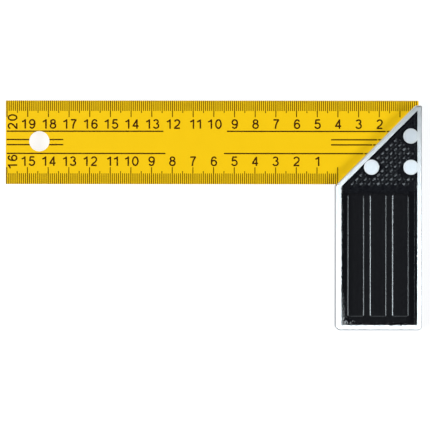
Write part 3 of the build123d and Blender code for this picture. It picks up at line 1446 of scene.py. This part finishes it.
    def print_numbers(self, face: Face, ink: bpy.types.Material) -> bpy.types.Object:
        """Prints both rows of numbers on a face.

        Args:
            face: The face.
            ink: The ink's material.

        Returns:
            The numbers as one piece.
        """
        drawings = []
        for scale in self.scales:
            for centimetre in range(scale.first_label, scale.last_label + 1):
                quads = []
                for points in self.numerals.word(str(centimetre)):
                    quads += self.film.ribbon(points, self.numerals.stroke_width)
                mesh = self.film.solid(f"number_{centimetre}", quads)
                if centimetre < scale.last_label:
                    inward = scale.zero + CENTIMETRE * centimetre - scale.label_shift
                    spot = self.onto(face, inward, scale.foot_down)
                else:
                    turn = QUARTER_TURN if face is Face.FRONT else -QUARTER_TURN
                    spot = self.onto(face, scale.turned_foot_in, scale.turned_middle_down, turn)
                drawings.append((mesh, spot))
        return self._print(f"scale_numbers_{face.value}", drawings, ink)

    @staticmethod
    def _print(name: str, drawings: list[tuple[bpy.types.Mesh, Matrix]],
               ink: bpy.types.Material) -> bpy.types.Object:
        """Joins drawings into one printed piece that rides with the blade.

        Args:
            name: The piece's name.
            drawings: Each mesh with the move to its place.
            ink: The ink's material.

        Returns:
            The piece.
        """
        whole = bmesh.new()
        for mesh, spot in drawings:
            mesh.transform(spot)
            whole.from_mesh(mesh)
            bpy.data.meshes.remove(mesh)
        joined = bpy.data.meshes.new(name)
        whole.to_mesh(joined)
        whole.free()
        piece = add_object(name, joined)
        joined.materials.append(ink)
        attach(piece, BODY)
        return piece

    def dress(self) -> list[bpy.types.Object]:
        """Gives the blade its lacquer and prints both faces.

        Returns:
            The blade and what is printed on it.
        """
        strip = self.bench.nodes["blade"]
        strip.data.materials[0] = self.lacquer.material()
        ink = self.ink.material()
        pieces = [strip]
        for face in Face:
            pieces += [
                self.print_lines(face, ink),
                self.print_marks(face, ink),
                self.print_numbers(face, ink),
            ]
        return pieces


@dataclass(frozen=True)
class SoftBox:
    """A square-on studio light, far enough off to light the whole floor evenly.

    Args:
        name: The light's name.
        azimuth: Direction it stands in, in degrees from +X towards +Y.
        elevation: Its height above the floor, in degrees.
        width: Its width, in degrees as the square sees it.
        height: Its height, in degrees as the square sees it.
        radiance: How bright its face is, where 1 is paper white.
        tint: Its colour.
        distance: How far off it stands, in metres.
    """

    name: str
    azimuth: float
    elevation: float
    width: float
    height: float
    radiance: float
    tint: str = "#ebf8ff"
    distance: float = 9.0

    def build(self) -> bpy.types.Object:
        """Stands the light in its place, facing the square.

        Returns:
            The light.
        """
        lamp = bpy.data.lights.new(self.name, "AREA")
        lamp.shape = "RECTANGLE"
        lamp.size = 2 * self.distance * math.tan(math.radians(self.width / 2))
        lamp.size_y = 2 * self.distance * math.tan(math.radians(self.height / 2))
        lamp.color = linear(self.tint)[:3]
        lamp.energy = self.radiance * math.pi * lamp.size * lamp.size_y
        azimuth = math.radians(self.azimuth)
        elevation = math.radians(self.elevation)
        towards = Vector((math.cos(azimuth) * math.cos(elevation), math.sin(azimuth) * math.cos(elevation),
                          math.sin(elevation)))
        holder = bpy.data.objects.new(self.name, lamp)
        holder.location = towards * self.distance
        holder.rotation_euler = towards.to_track_quat("Z", "Y").to_euler()
        holder.visible_camera = False
        bpy.context.scene.collection.objects.link(holder)
        return holder


@dataclass(frozen=True)
class Studio:
    """A white light table between two softboxes, with a card before the mitre and one before the foot.

    Args:
        pixels_per_mm: Scale of the photograph at the blade's face.
        eye_height: Height of the camera above the blade's face.
        aim: Where the middle of the picture falls, from the middle of the square.
        turn: How far the square lies turned in the picture, in degrees clockwise.
        sensor: Width of the camera's sensor.
        floor_side: Side of the floor, in metres.
        floor_gap: How far the floor lies under the square, so that the two never share a face.
        floor_white: Colour of the floor.
        floor_roughness: Roughness of the floor.
        floor_specular: The floor's level of reflection.
        floor_glow: How bright the floor shines by itself, where 1 is paper white.
        horizon: Brightness of the room low down, where 1 is paper white.
        ceiling: Brightness of the room overhead.
        wall_reach: Where the horizon ends and where the ceiling starts, as the sine of their elevation.
        lights: The softboxes and cards.
    """

    pixels_per_mm: float = 2.068
    eye_height: float = 943.0
    aim: Point = (0.9, 0.05)
    turn: float = 0.05
    sensor: float = 36.0
    floor_side: float = 60.0
    floor_gap: float = 0.02
    floor_white: str = "#7d7e7f"
    floor_roughness: float = 0.9
    floor_specular: float = 0.1
    floor_glow: float = 0.85
    horizon: float = 0.4
    ceiling: float = 0.052
    wall_reach: tuple[float, float] = (0.05, 0.75)
    lights: tuple[SoftBox, ...] = (
        SoftBox("left_softbox", azimuth=188.25, elevation=45.0, width=14.8, height=34.0, radiance=19.5),
        SoftBox("right_softbox", azimuth=347.25, elevation=48.0, width=20.5, height=20.0, radiance=13.5),
        SoftBox("white_card", azimuth=135.0, elevation=32.0, width=14.0, height=60.0, radiance=3.2),
        SoftBox("foot_card", azimuth=270.0, elevation=32.0, width=20.0, height=60.0, radiance=0.9),
    )

    def camera(self, bench: Bench) -> bpy.types.Object:
        """Hangs the camera over the square, as the photograph was taken.

        Args:
            bench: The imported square.

        Returns:
            The camera.
        """
        lens = bpy.data.cameras.new("camera")
        lens.sensor_width = self.sensor
        lens.lens = self.sensor * self.eye_height / (PHOTO_PIXELS / self.pixels_per_mm)
        eye = bpy.data.objects.new("camera", lens)
        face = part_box("blade")[1].z
        middle = (bench.low + bench.high) / 2
        eye.location = (middle.x + self.aim[0] * MM, middle.y + self.aim[1] * MM, face + self.eye_height * MM)
        eye.rotation_euler = (0.0, 0.0, math.radians(self.turn))
        bpy.context.scene.collection.objects.link(eye)
        bpy.context.scene.camera = eye
        return eye

    def floor(self) -> bpy.types.Object:
        """Lays the floor, which isn't part of the square.

        Returns:
            The floor.
        """
        half = self.floor_side / 2
        height = -self.floor_gap * MM
        mesh = bpy.data.meshes.new("floor")
        corners = [(-half, -half, height), (half, -half, height), (half, half, height), (-half, half, height)]
        mesh.from_pydata(corners, [], [(0, 1, 2, 3)])
        opal = bpy.data.materials.new("backlit_opal_acrylic")
        opal.use_nodes = True
        wire(opal.node_tree, opal.node_tree.nodes["Principled BSDF"], {
            "Base Color": linear(self.floor_white),
            "Roughness": self.floor_roughness,
            "Specular IOR Level": self.floor_specular,
            "Emission Color": linear(WHITE),
            "Emission Strength": self.floor_glow,
        })
        mesh.materials.append(opal)
        floor = add_object("floor", mesh)
        floor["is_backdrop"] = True
        return floor

    def room(self) -> bpy.types.World:
        """Makes the room's own soft light, pale low down and darker overhead.

        Returns:
            The room's light.
        """
        world = bpy.data.worlds.new("studio_room")
        world.use_nodes = True
        tree = world.node_tree
        towards = add_node(tree, "ShaderNodeTexCoord", {}).outputs["Generated"]
        height = add_node(tree, "ShaderNodeSeparateXYZ", {0: towards}).outputs["Z"]
        level = add_node(tree, "ShaderNodeMapRange", {
            "Value": height, "From Min": self.wall_reach[0], "From Max": self.wall_reach[1],
            "To Min": self.horizon, "To Max": self.ceiling}, interpolation_type="SMOOTHSTEP")
        wire(tree, tree.nodes["Background"], {"Color": linear(WHITE), "Strength": level.outputs[0]})
        bpy.context.scene.world = world
        return world

    def build(self, bench: Bench) -> None:
        """Builds the camera, the floor, the room and the lights, and shows colours as they are.

        Args:
            bench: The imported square.
        """
        bpy.context.scene.view_settings.view_transform = "Standard"
        self.camera(bench)
        self.floor()
        self.room()
        for light in self.lights:
            light.build()


def main() -> None:
    """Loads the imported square, builds the studio and dresses each piece in turn."""
    logging.basicConfig(level=logging.INFO, format="%(name)s: %(message)s")
    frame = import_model()
    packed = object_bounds()
    bench = Bench(packed[0], packed[1], frame["nodes"])
    Studio().build(bench)
    for assembly in (Stock(bench), Blade(bench)):
        for piece in assembly.dress():
            LOG.info("%s: %d faces, %s", piece.name, len(piece.data.polygons), piece.data.materials[0].name)


if __name__ == "__main__":
    main()
